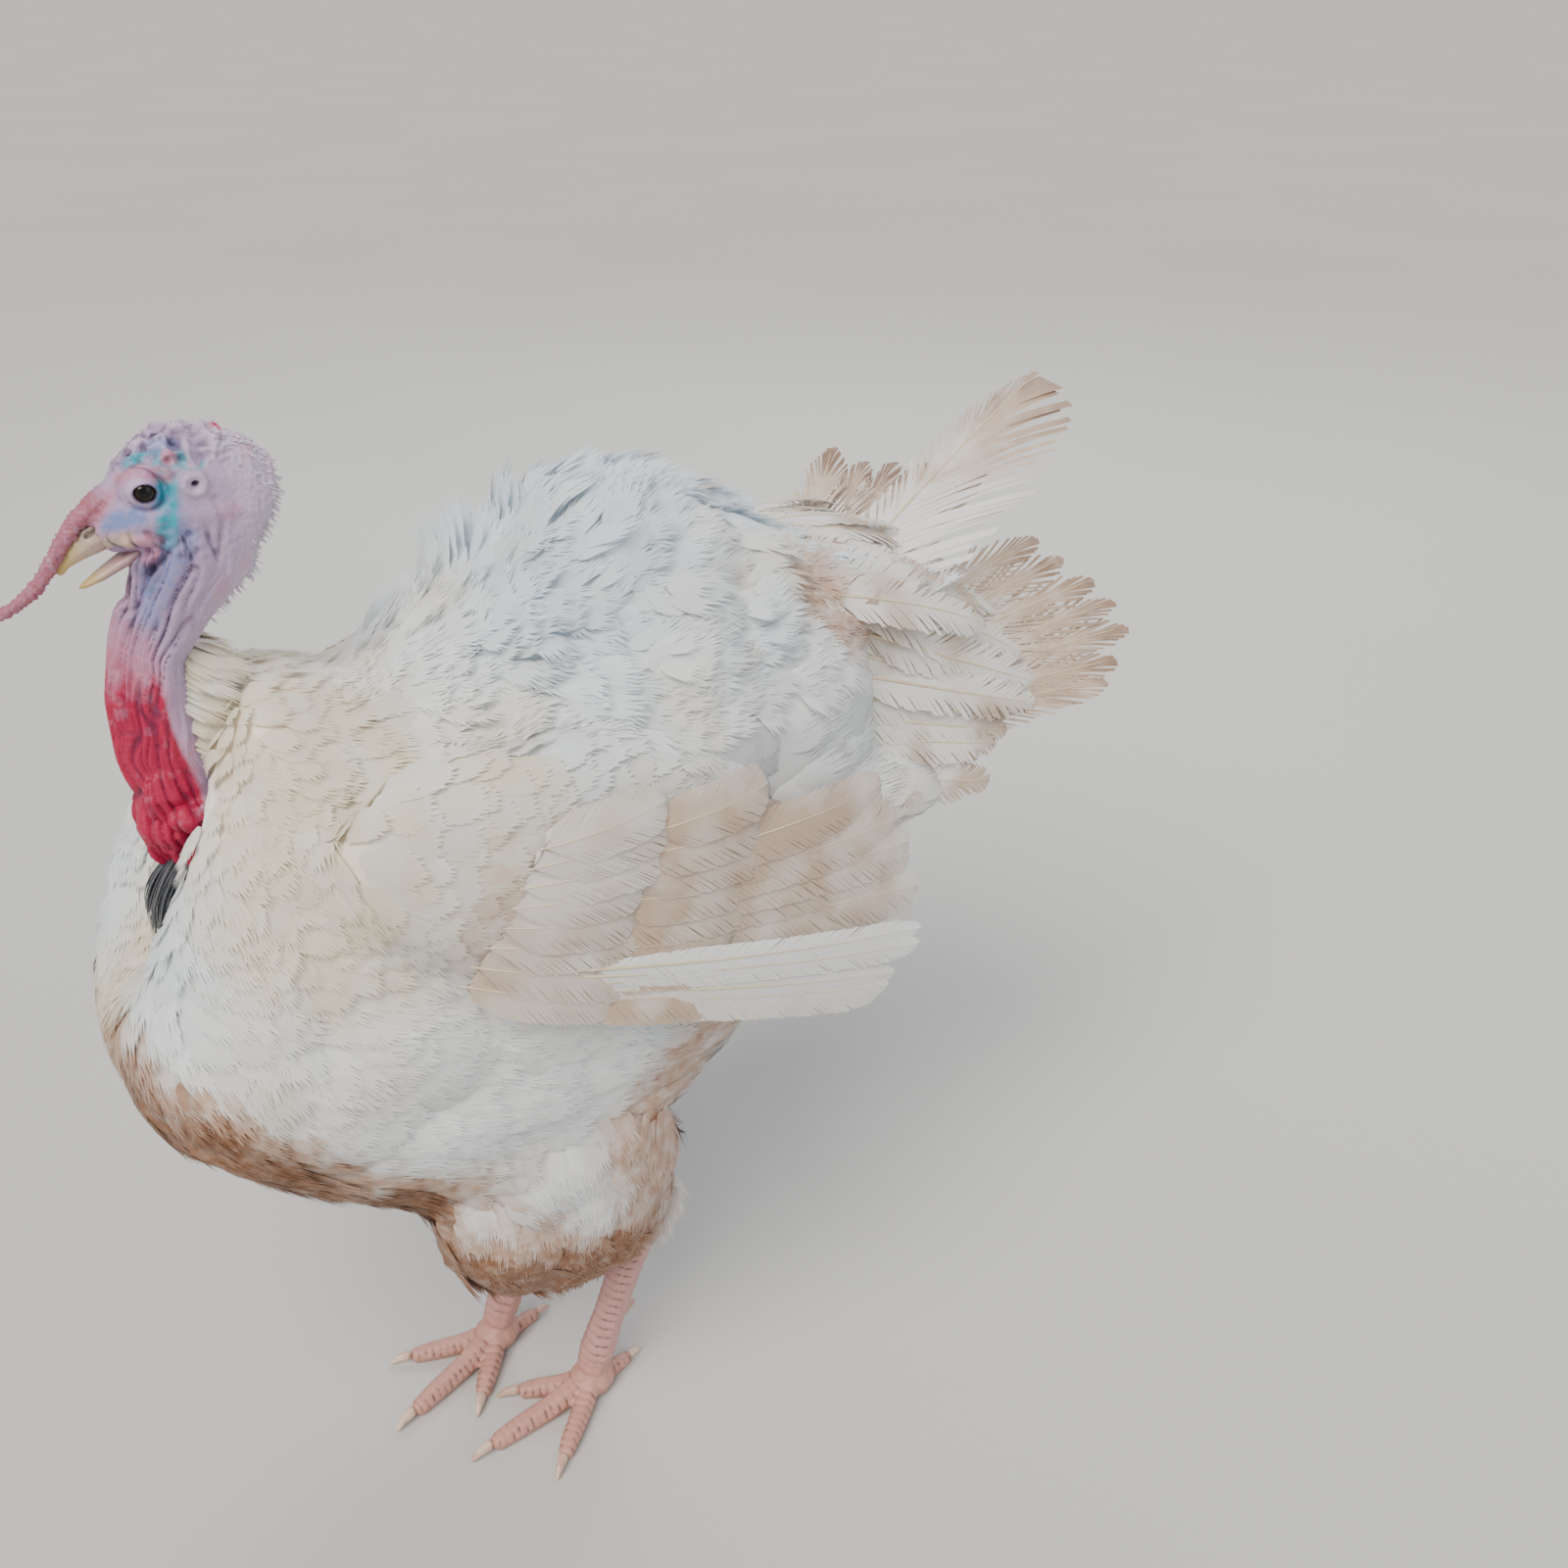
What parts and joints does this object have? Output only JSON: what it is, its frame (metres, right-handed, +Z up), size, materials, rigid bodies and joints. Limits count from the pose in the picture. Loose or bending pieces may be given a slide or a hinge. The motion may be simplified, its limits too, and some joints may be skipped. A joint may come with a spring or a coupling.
{
  "type": "domestic turkey",
  "caption": "Life-size still model of a white domestic turkey tom, walking with raised back feathers, half-fanned tail, bare head and hanging snood.",
  "frame": {"origin": "on the floor, under the middle of the bird's bounding box", "axes": "+Z up, -Y the way the bird faces, +Y towards its tail, +X to its left"},
  "size_m": [0.3202, 0.7198, 0.6868],
  "materials": {
    "body_feathers": "soft matt white contour feathers, stained tan below",
    "flight_feathers": "smooth white vanes with tan, frayed tips",
    "bare_skin": "wrinkled bare lilac and blue skin with a soft gloss",
    "red_skin": "swollen wrinkled red skin, moist gloss",
    "bill_horn": "satin horn with a yellow tip",
    "eye": "wet gloss, dark brown iris",
    "beard_bristle": "coarse blue-black bristle",
    "leg_scales": "dry pink scutes, dusty",
    "claw_horn": "worn satin horn"
  },
  "bodies": {
    "root": {"head": "bare_skin", "neck": "bare_skin", "bill_upper": "bill_horn", "bill_lower": "bill_horn", "snood": "red_skin", "eye_left": "eye", "eye_right": "eye", "ear_left": "bare_skin", "ear_right": "bare_skin", "caruncles_middle": "red_skin", "caruncles_left": "red_skin", "caruncles_right": "red_skin", "beard": "beard_bristle", "thigh_left": "body_feathers", "shank_left": "leg_scales", "spur_left": "claw_horn", "toe_middle_left": "leg_scales", "claw_middle_left": "claw_horn", "toe_inner_left": "leg_scales", "claw_inner_left": "claw_horn", "toe_outer_left": "leg_scales", "claw_outer_left": "claw_horn", "toe_hind_left": "leg_scales", "claw_hind_left": "claw_horn", "thigh_right": "body_feathers", "shank_right": "leg_scales", "spur_right": "claw_horn", "toe_middle_right": "leg_scales", "claw_middle_right": "claw_horn", "toe_inner_right": "leg_scales", "claw_inner_right": "claw_horn", "toe_outer_right": "leg_scales", "claw_outer_right": "claw_horn", "toe_hind_right": "leg_scales", "claw_hind_right": "claw_horn", "trunk": "body_feathers", "wing_left": "body_feathers", "secondaries_left": "flight_feathers", "primaries_left": "flight_feathers", "wing_right": "body_feathers", "secondaries_right": "flight_feathers", "primaries_right": "flight_feathers", "tail_coverts_upper": "body_feathers", "tail_coverts_lower": "body_feathers", "tail_left": "flight_feathers", "tail_middle": "flight_feathers", "tail_right": "flight_feathers"}
  },
  "joints": []
}
